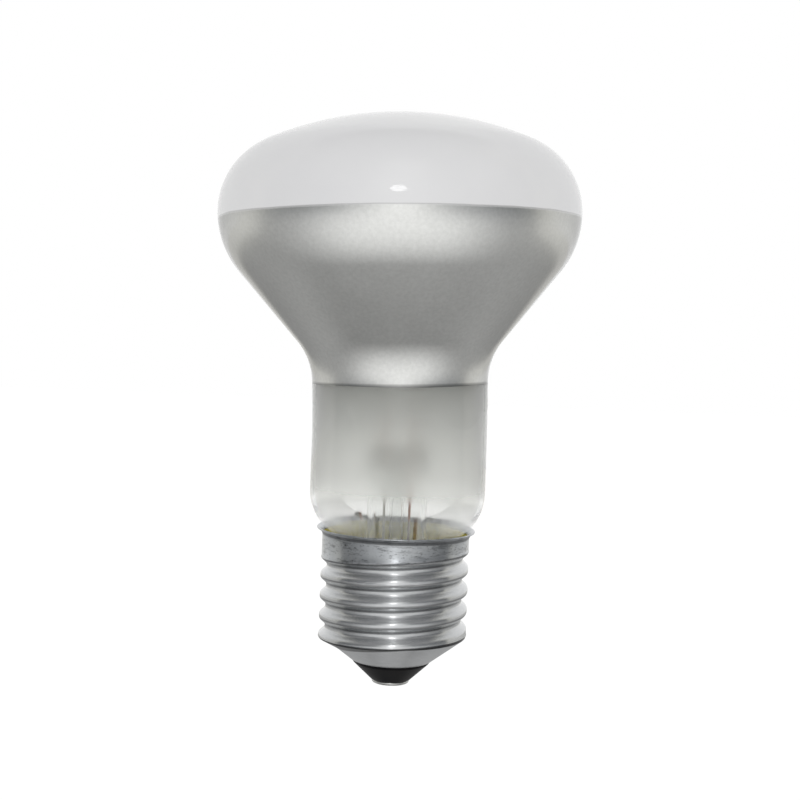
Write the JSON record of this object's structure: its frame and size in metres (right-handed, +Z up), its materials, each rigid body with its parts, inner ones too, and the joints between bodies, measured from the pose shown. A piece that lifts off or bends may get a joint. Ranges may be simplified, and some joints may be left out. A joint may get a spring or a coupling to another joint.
{
  "type": "reflector bulb",
  "caption": "Mushroom-shaped incandescent reflector bulb with a white dome, a silvered bowl, a frosted neck with a clear foot, and an aluminium screw cap",
  "frame": {"origin": "centre of the underside of the centre contact, where the lamp meets its holder", "axes": "+Z up along the axis of the cap, from the contact to the dome; +X to the viewer's right in the picture; +Y away from the viewer. The bulb leans 2.2 degrees to -X above the bend of its neck"},
  "size_m": [0.0634, 0.0634, 0.1004],
  "materials": {
    "opal_glass": "clear glass, white-coated inside at the dome, silvered inside at the bowl and frosted on the neck",
    "mirror_film": "evaporated aluminium film",
    "white_film": "white powder coating, matt",
    "stem_glass": "clear drawn glass",
    "nickel_wire": "bright drawn wire",
    "copper_wire": "copper-clad wire, dull",
    "tungsten": "coiled tungsten wire, grey",
    "cap_aluminium": "rolled sheet, satin, scuffed",
    "black_glass": "black glass, glossy",
    "contact_metal": "stamped sheet",
    "solder": "soft solder, dull",
    "cement": "baked capping cement, matt"
  },
  "bodies": {
    "root": {"glass_envelope": "opal_glass", "mirror_coating": "mirror_film", "white_coating": "white_film", "stem_flare": "stem_glass", "exhaust_tube": "stem_glass", "support_rod": "stem_glass", "filament": "tungsten", "seal_wire_left": "copper_wire", "seal_wire_right": "copper_wire", "inner_lead_left": "nickel_wire", "inner_lead_right": "nickel_wire", "outer_lead_side": "copper_wire", "outer_lead_upper": "nickel_wire", "outer_lead_contact": "copper_wire", "fuse_sleeve": "stem_glass", "fuse_wire": "nickel_wire", "cap_shell": "cap_aluminium", "cap_insulator": "black_glass", "contact_plate": "contact_metal", "contact_solder": "solder", "side_solder": "solder", "capping_cement": "cement", "support_wire_right": "nickel_wire", "support_wire_rear": "nickel_wire", "support_wire_left": "nickel_wire"}
  },
  "joints": []
}
